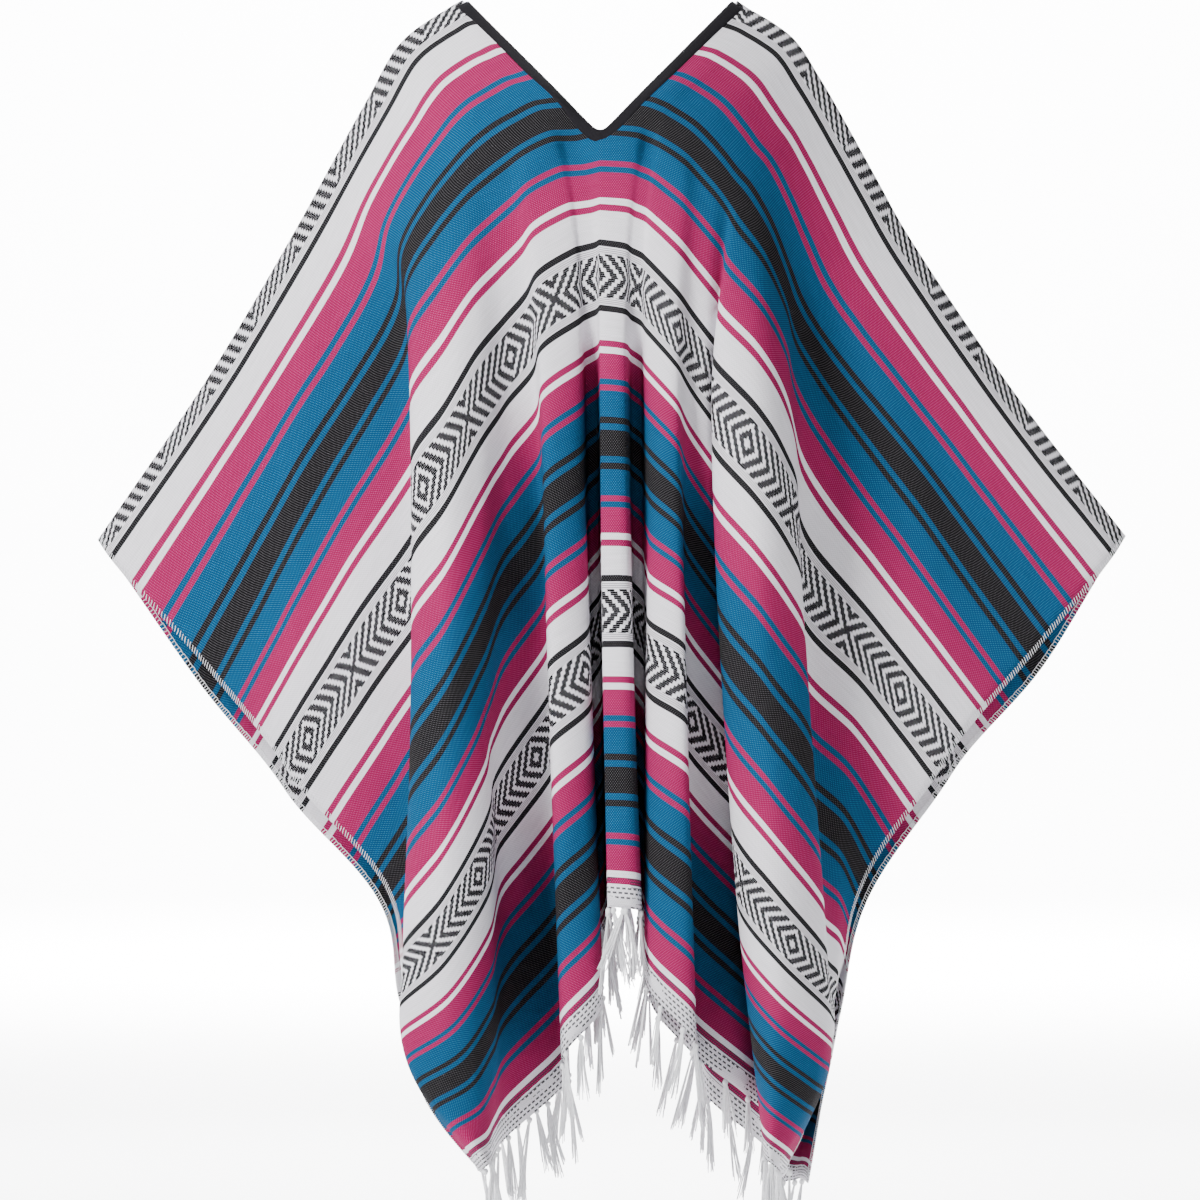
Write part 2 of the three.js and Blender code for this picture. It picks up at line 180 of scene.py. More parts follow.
def by_length(points, fine=60):
    """The same spline measured: positions along it, in points, and the length reached at each."""
    at = np.linspace(0, len(points) - 1, fine * (len(points) - 1) + 1)
    place = spline(points, at)
    reached = np.concatenate([[0], np.cumsum(np.linalg.norm(np.diff(place, axis=0), axis=1))])
    return at, reached


# %% [markdown]
# ## The drape
# A weft starts on the edge of the neck, or on the centre line below it, and ends at the selvage. Near the
# shoulder the fold lines spread out along the shoulder fold, and further down they hang as the table says.
# The back hangs from the same shoulders, a little shallower, with its folds slightly apart from the front's.

# %% Where one weft runs
def half_of_v(v, margin=0.0):
    """Half the neck opening at v, or of one cut `margin` wider all round."""
    slant = math.hypot(NECK_HALF, V_DEPTH)
    half = NECK_HALF + margin * slant / V_DEPTH
    depth = V_DEPTH + margin * slant / NECK_HALF
    return half * max(0.0, 1 - abs(v) / depth)


def fold_point(side, index, height, on_back):
    rows = FOLDS[side]
    x, z, d = np.array(rows[index][1 + HEIGHTS.index(height)]) * MM
    if not on_back:
        return np.array([x, d, z])
    share = index / (len(rows) - 1)
    sway = BACK_SWAY * math.sin(1.1 * index + 1) * (1 - share)
    spread, sag = (table[side][HEIGHTS.index(height)] * MM for table in (BACK_SPREAD, BACK_SAG))
    across = x + sway + SIGN[side] * spread * share
    return np.array([across, d * BACK_DEPTH, z - BACK_DROP * share**2 - sag * math.sin(math.pi * share) ** 2])


def shoulder_at(side, share):
    """A point of the shoulder fold and its direction, at a share of its length."""
    points = [(x * MM, 0, z * MM) for x, z in SHOULDERS[side]]
    at, reached = by_length(points)
    here = np.interp(share * reached[-1], reached, at)
    ahead, behind = (spline(points, np.array([here + step]))[0] for step in (0.01, -0.01))
    run = (ahead - behind) / np.linalg.norm(ahead - behind)
    return spline(points, np.array([here]))[0], run


def fold_starts(side, on_back):
    """How far along the shoulder each fold line starts, as a share."""
    points = [fold_point(side, i, "yoke", on_back) for i in range(len(FOLDS[side]))]
    steps = np.linalg.norm(np.diff(points, axis=0), axis=1)
    return np.concatenate([[0], np.cumsum(steps)]) / steps.sum()


STATIONS = {}
for side in FOLDS:
    for on_back in (False, True):
        lines = []
        for index, share in enumerate(fold_starts(side, on_back)):
            top, run = shoulder_at(side, share)
            inward = SIGN[side] * np.array([run[2], 0, -run[0]])
            sunk = inward * SHOULDER_SINK * (1 - CORNER_EASE * share)
            turned = top + sunk + np.array([0, SHOULDER_REACH, -CORNER_DROP * share])
            hanging = [fold_point(side, index, height, on_back) for height in HEIGHTS]
            lines.append([top, turned, *hanging])
        STATIONS[side, on_back] = np.array(lines)


def weft_start(side, v):
    _, _, chest, waist, hem = FOLDS["left"][0]
    down = abs(v)
    fronts = (0, NECK_TIP_DEPTH, *(p[2] * MM for p in (chest, waist, hem)))
    ahead = through_stations((0, YOKE, CHEST, WAIST, LENGTH), fronts, down)[0]
    level = through_stations((CHEST, WAIST, LENGTH), [p[0] * MM for p in (chest, waist, hem)], max(down, CHEST))[0]
    depth = -ahead if v >= 0 else ahead * BACK_DEPTH
    return np.array([level + SIGN[side] * half_of_v(v), depth, FOLD_TOP * min(1, down / V_DEPTH) - down])


def swing(side, index, v):
    """How far outwards a fold is carried at v by the swing of the outermost folds."""
    rank = max(0, index - (len(FOLDS[side]) - 1 - SWING_FOLDS)) / SWING_FOLDS
    inward, outward = np.clip(((abs(v) - CHEST) / (WAIST - CHEST), (abs(v) - WAIST) / (LENGTH - WAIST)), 0, 1)
    held = SWING_IN[side] * math.sin(math.pi * inward) ** 2 * rank**2
    freed = 0 if v < 0 else SWING_OUT[side] * math.sin(math.pi * outward) * min(1, 2 * rank)
    return SIGN[side] * (freed - held) * MM


def weft_controls(side, v):
    lines = STATIONS[side, v < 0]
    heights = (0, SHOULDER_ROUND, YOKE, CHEST, WAIST, LENGTH)
    points = [weft_start(side, v)]
    for index, line in enumerate(lines[1:], start=1):
        x, d, z = (through_stations(heights, line[:, k], abs(v))[0] for k in range(3))
        points.append((x + swing(side, index, v), d if v < 0 else -d, z))
    return np.array(points)


middle = weft_controls("right", CHEST)
print("a weft at the chest passes through", len(middle), "points and is",
      round(by_length(middle)[1][-1], 3), "m long")

# %% [markdown]
# ## The cloth as a fine grid
# One sheet of cloth can't have a seam down its middle, so the two halves of each weft meet in one shared
# column below the neck, and part along the two sides of the V. Columns crowd where folds do, and each row
# is one weft. Every point keeps its own `u` and `v` as its UV, so that the weave and the stripes lie in the
# cloth and not on the screen.

# %% A grid of places, with the cloth's own u and v
CELL = 0.0106
TUCKED = 0.003
NECK_ROWS, BODY_ROWS = 32, 64
COLUMN_COUNT = {}
for side in FOLDS:
    widest = np.zeros(len(FOLDS[side]))
    for v in (-WAIST, -CHEST, CHEST, WAIST, LENGTH):
        at, reached = by_length(weft_controls(side, v))
        ends = np.interp(np.arange(len(FOLDS[side])), at, reached)
        widest[1:] = np.maximum(widest[1:], np.diff(ends))
    COLUMN_COUNT[side] = np.maximum(2, np.round(widest[1:] / CELL)).astype(int)
COLUMN_AT = {
    side: np.concatenate([[0]] + [i + np.arange(1, n + 1) / n for i, n in enumerate(counts)])
    for side, counts in COLUMN_COUNT.items()
}


def weft(side, v, margin, spread=3.0):
    """Places and u along one weft, starting `margin` inside the edge of the neck."""
    controls = weft_controls(side, v)
    at, reached = by_length(controls)
    skipped = half_of_v(v, margin) - half_of_v(v)
    first = np.interp(skipped, reached, at)
    here = COLUMN_AT[side] + first * np.maximum(0, 1 - COLUMN_AT[side] / spread)
    return spline(controls, here), np.interp(here, at, reached) + half_of_v(v)


tip = V_DEPTH + TUCKED * math.hypot(NECK_HALF, V_DEPTH) / NECK_HALF
half_rows = np.concatenate([np.linspace(0, tip, NECK_ROWS + 1), np.linspace(tip, LENGTH, BODY_ROWS + 1)[1:]])
ROW_V = np.concatenate([-half_rows[:0:-1], half_rows])
GRID = {}
for side in FOLDS:
    rows = [weft(side, v, TUCKED) for v in ROW_V]
    GRID[side] = {
        "place": np.array([place for place, _ in rows]),
        "u": SIGN[side] * np.array([u for _, u in rows]),
        "v": np.repeat(ROW_V[:, None], len(COLUMN_AT[side]), axis=1),
    }
    print(side, "grid", GRID[side]["u"].shape, "widest", round(abs(GRID[side]["u"]).max(), 3), "m")

# %% [markdown]
# ## Calm places and small creases
# Just under the V, and beside it, the cloth lies nearly smooth, so there the depths along each weft are drawn
# towards their own mean.
# Between the big folds a real blanket keeps soft creases: drag lines that run from the shoulders to the
# corners, and slack places beside a fold. Each is listed here as a soft ridge or trough along a line on
# the cloth, with its own width and height. The loose selvages also swing in and out a little. The same is
# done on the back with different lines, since no two sides of a garment crease alike.

# %% Ridges and troughs, as (side, start, end, width, rise); start and end are (u, v) in metres
CREASES = (
    ("left", (0.330, 0.110), (0.640, 0.560), 0.034, 0.0045),
    ("left", (0.460, 0.060), (0.780, 0.360), 0.030, -0.0040),
    ("left", (0.560, 0.330), (0.830, 0.700), 0.040, 0.0040),
    ("left", (0.230, 0.330), (0.330, 0.820), 0.018, -0.0030),
    ("left", (0.430, 0.520), (0.520, 0.980), 0.022, 0.0030),
    ("left", (0.110, 0.480), (0.150, 0.900), 0.014, 0.0018),
    ("right", (0.300, 0.130), (0.560, 0.600), 0.032, 0.0040),
    ("right", (0.420, 0.090), (0.740, 0.300), 0.036, -0.0045),
    ("right", (0.600, 0.260), (0.850, 0.620), 0.034, 0.0035),
    ("right", (0.380, 0.560), (0.460, 0.960), 0.020, -0.0028),
    ("right", (0.130, 0.420), (0.190, 0.860), 0.015, 0.0020),
    ("left", (0.280, -0.140), (0.600, -0.640), 0.034, 0.0045),
    ("left", (0.500, -0.080), (0.800, -0.420), 0.036, -0.0040),
    ("left", (0.190, -0.380), (0.260, -0.900), 0.020, 0.0030),
    ("left", (0.420, -0.560), (0.560, -0.980), 0.024, -0.0030),
    ("right", (0.340, -0.120), (0.660, -0.520), 0.030, 0.0042),
    ("right", (0.520, -0.100), (0.790, -0.340), 0.034, -0.0038),
    ("right", (0.250, -0.420), (0.300, -0.880), 0.018, -0.0028),
    ("right", (0.090, -0.360), (0.130, -0.820), 0.016, 0.0024),
)
WAVE, WAVE_LENGTH, WAVE_REACH = 0.0022, 0.115, 0.030
SLACK, SLACK_FROM, SLACK_TO = 0.85, (0.222, 0.240), (0.36, 0.49)
SLACK_WIDTH, SLACK_REACH = 0.065, 0.17
YOKE_CALM, CALM_FROM, CALM_TO, CALM_WIDTH = 0.8, (0.03, 0.07), (0.19, 0.215), 0.030
CALM_EDGE, CALM_REACH = (0.014, 0.034), 0.34


def outward(grid, side):
    """The outward normal at each place of a grid."""
    down = np.gradient(grid, axis=0)
    across = np.gradient(grid, axis=1)
    normal = np.cross(across, down) * SIGN[side]
    return normal / np.maximum(np.linalg.norm(normal, axis=2, keepdims=True), 1e-9)


def beside_line(u, v, start, end):
    """How far each spot of the cloth lies from the line, and 1 along it fading to 0 at its ends."""
    run = np.subtract(end, start)
    along = ((u - start[0]) * run[0] + (v - start[1]) * run[1]) / (run @ run)
    near = np.clip(along, 0, 1)
    apart = np.hypot(u - start[0] - near * run[0], v - start[1] - near * run[1])
    return apart, np.sin(np.pi * near) ** 0.7


def ease(values, low, high):
    """0 below low and 1 above high, with a smooth step between."""
    t = np.clip((values - low) / (high - low), 0, 1)
    return t * t * (3 - 2 * t)


def calmed(u, depth, width, share):
    """The depths along one weft, drawn by `share` towards their mean over about `width`."""
    near = np.exp(-((np.subtract.outer(u, u) / width) ** 2)) * np.gradient(u)
    return depth + share * (near @ depth / near.sum(axis=1) - depth)


# Under the V the cloth lies nearly smooth, and its narrow folds open only further down.
for row, v in enumerate(ROW_V):
    share = SLACK * ease(abs(v), *SLACK_FROM) * (1 - ease(abs(v), *SLACK_TO))
    if share == 0:
        continue
    u = np.concatenate([GRID["left"]["u"][row, ::-1], GRID["right"]["u"][row, 1:]])
    depth = np.concatenate([GRID["left"]["place"][row, ::-1, 1], GRID["right"]["place"][row, 1:, 1]])
    calm = calmed(u, depth, SLACK_WIDTH, share * np.exp(-((u / SLACK_REACH) ** 4)))
    centre = GRID["left"]["u"].shape[1] - 1
    GRID["left"]["place"][row, :, 1] = calm[centre::-1]
    GRID["right"]["place"][row, :, 1] = calm[centre:]

# Beside the neck the same is done a little, away from the bound edge, which stays where the tape is.
for grid in GRID.values():
    for row, v in enumerate(ROW_V):
        share = YOKE_CALM * ease(abs(v), *CALM_FROM) * (1 - ease(abs(v), *CALM_TO))
        if share == 0:
            continue
        u = np.abs(grid["u"][row])
        depth = grid["place"][row, :, 1]
        free = ease(u - half_of_v(v), *CALM_EDGE) * np.exp(-((u / CALM_REACH) ** 4))
        grid["place"][row, :, 1] = calmed(u, depth, CALM_WIDTH, share * free)

for side, grid in GRID.items():
    u, v = np.abs(grid["u"]), grid["v"]
    rise = np.zeros_like(u)
    for crease_side, start, end, width, height in CREASES:
        if crease_side == side:
            apart, fade = beside_line(u, v, start, end)
            rise += height * fade * np.exp(-((apart / width) ** 2))
    phase = 2 * np.pi * v / WAVE_LENGTH + SIGN[side]
    loose = np.exp(-(((HALF_WIDTH - u) / WAVE_REACH) ** 2)) * np.clip(np.abs(v) / 0.2, 0, 1)
    rise += WAVE * (np.sin(phase) + 0.6 * np.sin(1.7 * phase)) * loose
    grid["place"] = grid["place"] + outward(grid["place"], side) * rise[..., None]
print(len(CREASES), "creases laid")

# %% [markdown]
# ## From grid to cloth
# The sheet is built as one skin of four-sided faces. The left half is walked the other way from the right
# half, so that every face looks outwards. Solidify then gives it the real thickness of a blanket weave.

# %% Make the skin of the panel
PANEL_THICK = 0.0016


def join_halves(halves):
    """Vertices, UVs and faces of the sheet, with the middle column shared below the neck."""
    vertices, uvs, faces = [], [], []
    number = {}
    for side in ("left", "right"):
        grid = halves[side]
        count_rows, count_columns = grid["u"].shape
        index = np.zeros((count_rows, count_columns), int)
        for row in range(count_rows):
            for column in range(count_columns):
                middle = column == 0 and abs(ROW_V[row]) >= tip - 1e-9
                if side == "right" and middle:
                    index[row, column] = number[row]
                    continue
                index[row, column] = len(vertices)
                if middle:
                    number[row] = len(vertices)
                vertices.append(grid["place"][row, column])
                uvs.append((grid["u"][row, column], grid["v"][row, column]))
        for row in range(count_rows - 1):
            for column in range(count_columns - 1):
                a, b = index[row, column], index[row, column + 1]
                c, d = index[row + 1, column + 1], index[row + 1, column]
                faces.append((a, b, c, d) if side == "left" else (d, c, b, a))
    return vertices, uvs, faces


def new_mesh(name, vertices, faces):
    mesh = bpy.data.meshes.new(name)
    mesh.from_pydata([tuple(map(float, p)) for p in vertices], [], faces)
    mesh.validate()
    piece = bpy.data.objects.new(name, mesh)
    bpy.context.scene.collection.objects.link(piece)
    return piece


set_mode = bpy.ops.object.mode_set


def choose(piece):
    """Select one piece and nothing else."""
    bpy.ops.object.select_all(action="DESELECT")
    piece.select_set(True)
    bpy.context.view_layer.objects.active = piece


def solidify(piece, thickness, offset):
    choose(piece)
    wall = piece.modifiers.new("wall", "SOLIDIFY")
    wall.thickness = thickness
    wall.offset = offset
    bpy.ops.object.modifier_apply(modifier=wall.name)


vertices, uvs, faces = join_halves(GRID)
panel = new_mesh("woven_cloth", vertices, faces)
layer = panel.data.uv_layers.new(name="cloth")
for loop in panel.data.loops:
    layer.data[loop.index].uv = uvs[loop.vertex_index]
solidify(panel, PANEL_THICK, 0)
panel.data.polygons.foreach_set("use_smooth", [True] * len(panel.data.polygons))
print("the cloth has", 2 * len(panel.data.polygons), "triangles")

# %% [markdown]
# ## The weave
# The stripes repeat like a mirror: from the middle of each zigzag band the same colours run up and down the
# warp. Ping-pong turns `v` into the distance from the nearest band, and one ramp with sharp steps then holds
# every stripe. The zigzag is drawn as a weaver makes it, by counting: each pair of weft rows carries dashes
# of black, and each row shifts them by a fixed amount, so that diamonds and crosses come out by themselves.

# %% Small helpers for node formulas
def srgb(red, green, blue):
    """A colour as a dyer's card gives it, turned into the renderer's own light values."""
    shares = np.array([red, green, blue]) / 255
    return (*np.where(shares <= 0.04045, shares / 12.92, ((shares + 0.055) / 1.055) ** 2.4), 1.0)


def maths(operation, *values):
    """A math node; each value is a number or another node's output, and one at least is an output."""
    tree = next(value for value in values if not isinstance(value, (int, float))).id_data
    node = tree.nodes.new("ShaderNodeMath")
    node.operation = operation
    for socket, value in zip(node.inputs, values):
        if isinstance(value, (int, float)):
            socket.default_value = value
        else:
            tree.links.new(value, socket)
    return node.outputs[0]


def short(operation):
    """A node formula of one operation."""
    return lambda *values: maths(operation, *values)


plus, minus, times, divided = (short(name) for name in ("ADD", "SUBTRACT", "MULTIPLY", "DIVIDE"))
below, exceeds, size_of = (short(name) for name in ("LESS_THAN", "GREATER_THAN", "ABSOLUTE"))
fraction, whole, wave_of, mirrored = (short(name) for name in ("FRACT", "FLOOR", "SINE", "PINGPONG"))


def mix_colour(tree, share, first, second, blend="MIX"):
    node = tree.nodes.new("ShaderNodeMix")
    node.data_type = "RGBA"
    node.blend_type = blend
    for name, value in (("Factor_Float", share), ("A_Color", first), ("B_Color", second)):
        socket = next(s for s in node.inputs if s.identifier == name)
        if isinstance(value, (int, float, tuple)):
            socket.default_value = value
        else:
            tree.links.new(value, socket)
    return next(s for s in node.outputs if s.identifier == "Result_Color")


def ramp(tree, value, stops, steps="CONSTANT"):
    """stops are (place, colour) from 0 to 1."""
    node = tree.nodes.new("ShaderNodeValToRGB")
    node.color_ramp.interpolation = steps
    elements = node.color_ramp.elements
    while len(elements) < len(stops):
        elements.new(0.5)
    for element, (place, colour) in zip(elements, stops):
        element.position = place
        element.color = colour
    tree.links.new(value, node.inputs[0])
    return node.outputs[0]


def noise(tree, place, scale, detail=2.0):
    node = tree.nodes.new("ShaderNodeTexNoise")
    node.inputs["Scale"].default_value = scale
    node.inputs["Detail"].default_value = detail
    tree.links.new(place, node.inputs["Vector"])
    return node.outputs["Fac"]


def cloth_place(tree, across=1.0, along=1.0):
    """The cloth's own u and v as a vector, stretched either way."""
    source = tree.nodes.new("ShaderNodeUVMap")
    source.uv_map = "cloth"
    stretch = tree.nodes.new("ShaderNodeMapping")
    stretch.inputs["Scale"].default_value = (across, along, 1)
    tree.links.new(source.outputs[0], stretch.inputs["Vector"])
    return stretch.outputs[0]


def soft_material(name, roughness, sheen, sheen_roughness=0.5):
    material = bpy.data.materials.new(name)
    material.use_nodes = True
    shader = material.node_tree.nodes["Principled BSDF"]
    shader.inputs["Roughness"].default_value = roughness
    shader.inputs["Specular IOR Level"].default_value = 0.2
    shader.inputs["Sheen Weight"].default_value = sheen
    shader.inputs["Sheen Roughness"].default_value = sheen_roughness
    return material, material.node_tree, shader


def raise_surface(tree, shader, height, distance, strength=1.0):
    bump = tree.nodes.new("ShaderNodeBump")
    bump.inputs["Distance"].default_value = distance
    bump.inputs["Strength"].default_value = strength
    tree.links.new(height, bump.inputs["Height"])
    tree.links.new(bump.outputs[0], shader.inputs["Normal"])


# %% The stripes, by distance from the middle of a band, in metres
PINK, BLUE = srgb(138, 14, 70), srgb(10, 62, 100)
BLACK, WHITE = srgb(7, 7, 9), srgb(234, 231, 237)
# Speck colours: pale warp threads on pink, blue and black; on white a grey, which is painted shade between the
# threads.
SPECK_AND_SHADE = {PINK: srgb(186, 84, 130), BLUE: srgb(58, 126, 162), BLACK: srgb(98, 96, 99), WHITE: srgb(206, 202, 209)}
HALF_REPEAT = 0.182
STRIPES = (
    ("band and its lines", 0.0, WHITE),
    ("edge of the band", 0.0316, BLACK),
    ("broad ground", 0.0387, WHITE),
    ("line", 0.0703, PINK),
    ("gap", 0.0774, WHITE),
    ("broad stripe", 0.0845, PINK),
    ("line", 0.1117, BLUE),
    ("line", 0.1182, PINK),
    ("broad stripe", 0.1247, BLUE),
    ("line", 0.1530, BLACK),
    ("gap", 0.1601, BLUE),
    ("middle stripe", 0.1672, BLACK),
)
BAND_HALF = 0.0238
MOTIF_HALF, MOTIF_START = 0.0915, -0.020
CHEVRON, DASH_ROW, DASH_SHARE, STEEP = 0.0136, 0.0021, 0.95, 0.9
DARK_SHARE, TOOTH = 0.60, 0.0007
WEFT_PITCH, WARP_PITCH = 0.0018, 0.0026
YARN_WANDER = 0.0016
FINE_LINE, FINE_LINES_END, FINE_SHARE = 0.0021, 0.0308, 0.38
# Rows of drawn-thread openwork near the hem. Their openings are not cut: they are painted dark, as painted shade
# in the gaps.
HEM_ROW, HEM_HOLE, HEM_SHIFT, HEM_HOLES_END = 0.0050, 0.0062, 0.37, 0.022
SLIT_PITCH, SLITS_AT, SLITS_HALF = 0.0031, 0.028, 0.006

weave, tree, shader = soft_material("striped_weave", roughness=0.95, sheen=0.0)
shader.inputs["Specular IOR Level"].default_value = 0.05
place = cloth_place(tree)
wander = noise(tree, cloth_place(tree, 14, 3), 1.0)
split = tree.nodes.new("ShaderNodeSeparateXYZ")
tree.links.new(place, split.inputs[0])
u = split.outputs[0]
v = plus(split.outputs[1], times(minus(wander, 0.5), YARN_WANDER))
from_band = mirrored(v, HALF_REPEAT)
share = divided(from_band, HALF_REPEAT)
ground = ramp(tree, share, [(start / HALF_REPEAT, colour) for _, start, colour in STRIPES])
specks = ramp(tree, share, [(start / HALF_REPEAT, SPECK_AND_SHADE[colour]) for _, start, colour in STRIPES])
print("the weave has", len(STRIPES), "stripes in each half repeat of", HALF_REPEAT, "m")

# %% [markdown]
# ### Counting the zigzag
# `row` counts pairs of wefts from the middle of the band. The distance used for the diamonds takes the
# row's own middle, so the edges come out in teeth, as they do on a loom. A dash fills only part of its row,
# and the white ground shows between the dashes as fine lines.

# %% The zigzag band
# Whole repeats are added first, so that the remainder is never taken of a negative number.
REPEAT, REPEATS_ADDED = 2 * HALF_REPEAT, 8
in_repeat = maths("MODULO", plus(v, REPEATS_ADDED * REPEAT + HALF_REPEAT), REPEAT)
signed = minus(in_repeat, HALF_REPEAT)
rows_up = divided(signed, DASH_ROW)
row_middle = size_of(times(plus(whole(rows_up), 0.5), DASH_ROW))
in_row = below(fraction(rows_up), DASH_SHARE)
odd = maths("FLOORED_MODULO", whole(rows_up), 2.0)
toothed = plus(u, times(minus(odd, 0.5), 2 * TOOTH))
along = mirrored(minus(toothed, MOTIF_START), MOTIF_HALF)
ring = divided(plus(along, times(row_middle, STEEP)), CHEVRON)
dark_ring = exceeds(fraction(ring), 1 - DARK_SHARE)
in_band = below(from_band, BAND_HALF)
dashes = times(times(dark_ring, in_row), in_band)
beside = times(exceeds(from_band, BAND_HALF), below(from_band, FINE_LINES_END))
fine_lines = below(fraction(divided(from_band, FINE_LINE)), FINE_SHARE)
lines = times(times(fine_lines, beside), 0.8)
print("one motif is", 2 * MOTIF_HALF, "m long and", 2 * BAND_HALF, "m high")

# %% [markdown]
# ### Threads
# Pale warp threads come up between the coloured wefts in a checker, which is what gives such a blanket its
# grain. On the white stripes the same specks are grey instead, which is painted shade between the threads.
# Two wavy functions make soft specks, so that they don't flicker when seen small. The same functions
# raise the surface, and a noise stretched along the weft makes every yarn a little lighter or darker.

# %% Specks, yarn and surface
weft_count = divided(v, WEFT_PITCH)
offset = times(whole(weft_count), 0.5)
warp_count = plus(divided(u, WARP_PITCH), offset)
warp_wave = wave_of(times(warp_count, 2 * math.pi))
speck = times(plus(warp_wave, 1.0), 0.5)
over = wave_of(times(fraction(weft_count), math.pi))
speck = times(maths("POWER", speck, 3.2), over)
yarn = noise(tree, cloth_place(tree, 30, 480), 1.0, 3)
cloudy = noise(tree, cloth_place(tree, 5, 5), 1.0, 3)
colour = mix_colour(tree, times(speck, 0.85), ground, specks)
colour = mix_colour(tree, dashes, colour, srgb(14, 13, 16))
colour = mix_colour(tree, lines, colour, srgb(78, 75, 82))
from_hem = minus(LENGTH, size_of(split.outputs[1]))
patches = noise(tree, cloth_place(tree, 22, 60), 1.0, 2)
# The holes of the openwork: painted near black, as painted shade in the openings.
hem_row = divided(from_hem, HEM_ROW)
slipped = plus(divided(u, HEM_HOLE), times(whole(hem_row), HEM_SHIFT))
hole_shade = times(below(fraction(hem_row), 0.42), below(fraction(slipped), 0.66))
hole_shade = times(hole_shade, exceeds(patches, 0.43))
hole_shade = times(hole_shade, below(from_hem, HEM_HOLES_END))
# The slits of the openwork: painted dark grey, as painted shade in the gaps between the threads.
slit_shade = below(fraction(divided(from_hem, SLIT_PITCH)), 0.42)
slit_shade = times(slit_shade, below(size_of(minus(from_hem, SLITS_AT)), SLITS_HALF))
slit_shade = times(slit_shade, below(patches, 0.56))
# Painted shade: near black in the holes and dark grey in the slits.
colour = mix_colour(tree, times(hole_shade, 0.9), colour, srgb(24, 22, 28))
colour = mix_colour(tree, times(slit_shade, 0.85), colour, srgb(58, 55, 66))
light = plus(times(yarn, 0.34), times(cloudy, 0.12))
light = plus(light, 0.76)
tint = tree.nodes.new("ShaderNodeCombineColor")
for socket in tint.inputs:
    tree.links.new(light, socket)
colour = mix_colour(tree, 1.0, colour, tint.outputs[0], "MULTIPLY")
tree.links.new(colour, shader.inputs["Base Color"])
ribs = size_of(wave_of(times(weft_count, math.pi)))
height = plus(times(ribs, 0.6), times(speck, 0.4))
height = plus(height, times(yarn, 0.8))
raise_surface(tree, shader, height, 0.0005, 0.7)
panel.data.materials.append(weave)
print("the panel wears", weave.name)

# %% [markdown]
# ## Finding a spot on the cloth
# The binding, the edge stitches and the fringe are all sewn or knotted on at known spots of the cloth. So
# they ask the grid for a place and an outward direction, instead of being set by eye.

# %% A spot on the grid, by side, v and distance in from the selvage
for side, grid in GRID.items():
    grid["out"] = outward(grid["place"], side)


def from_selvage(side, v, inset):
    """Place and outward direction, `inset` metres in from the selvage."""
    grid = GRID[side]
    at = np.interp(v, ROW_V, np.arange(len(ROW_V)))
    low = min(int(at), len(ROW_V) - 2)
    found = []
    for row in (low, low + 1):
        u = np.abs(grid["u"][row])
        want = u[-1] - inset
        found.append([np.interp(want, u, grid[key][row][:, k]) for key in ("place", "out") for k in range(3)])
    mixed = np.array(found[0]) * (low + 1 - at) + np.array(found[1]) * (at - low)
    return mixed[:3], mixed[3:] / np.linalg.norm(mixed[3:])


print("a corner of the cloth is at", from_selvage("left", LENGTH, 0)[0].round(3))

# %% [markdown]
# ## The neck binding
# A dark woven tape is folded round the cut edge and sewn through, so it has a face on both sides of the
# cloth. It is swept here along the neck: four legs, two down the front V and two down the back one, each
# with the same flat, round-cornered section. Sewers ease the tape round the point of a V, which leaves a
# small curve there. Smoothing the finished sweep along its length gives that curve.

# %% Sweep the tape round the neck
TAPE_LEG, TAPE_STEP = 64, 0.004
TIP_EASE, TIP_PASSES = 0.055, (9, 56)
SECTION = (
    (-0.0008, 0.0), (-0.0003, 0.0013), (0.0012, 0.0020), (0.0040, 0.0022), (0.0080, 0.0022), (0.0106, 0.0019),
    (0.0120, 0.0011), (0.0122, 0.0), (0.0118, -0.0011), (0.0080, -0.0020), (0.0040, -0.0020), (0.0008, -0.0015),
)


def neck_spot(side, share, margin, end):
    """A spot beside the neck edge: share runs from the shoulder, 0, to the point of the V, 1."""
    depth = V_DEPTH + margin * math.hypot(NECK_HALF, V_DEPTH) / NECK_HALF
    v = share * depth * end
    controls = weft_controls(side, v)
    at, reached = by_length(controls, 24)
    along = half_of_v(v, margin) - half_of_v(v)
    if along >= 0:
        return spline(controls, np.array([np.interp(along, reached, at)]))[0]
    return controls[0] + (controls[0] - controls[1]) / np.linalg.norm(controls[0] - controls[1]) * -along


legs = [("left", 1, True), ("left", -1, False), ("right", -1, True), ("right", 1, False)]
rails = {}
for margin in (0.0, BINDING_WIDTH / 2, BINDING_WIDTH):
    rail = []
    for side, end, upward in legs:
        ends = (1, 0) if upward else (0, 1)
        shares = np.linspace(*ends, TAPE_LEG, endpoint=False)
        rail += [neck_spot(side, share, margin, end) for share in shares]
    rails[margin] = np.array(rail)
inner, middle, outer = rails.values()
run = np.roll(middle, -1, axis=0) - np.roll(middle, 1, axis=0)
face = np.cross(run, outer - inner)
face /= np.linalg.norm(face, axis=1, keepdims=True)
front = np.argmin(middle[:, 2] + 9 * (middle[:, 1] > 0))
if face[front, 1] > 0:
    face = -face
sections = []
for margin, rise in SECTION:
    spread = margin / BINDING_WIDTH
    curve = inner * (1 - spread) * (1 - 2 * spread) + middle * 4 * spread * (1 - spread)
    curve = curve + outer * spread * (2 * spread - 1)
    sections.append(curve + face * rise)
tape = np.array(sections).transpose(1, 0, 2)
for _ in range(5):
    tape = 0.5 * tape + 0.25 * (np.roll(tape, 1, axis=0) + np.roll(tape, -1, axis=0))
along = np.arange(len(tape))
from_tip = np.minimum(along % (2 * TAPE_LEG), -along % (2 * TAPE_LEG)) * TAPE_STEP
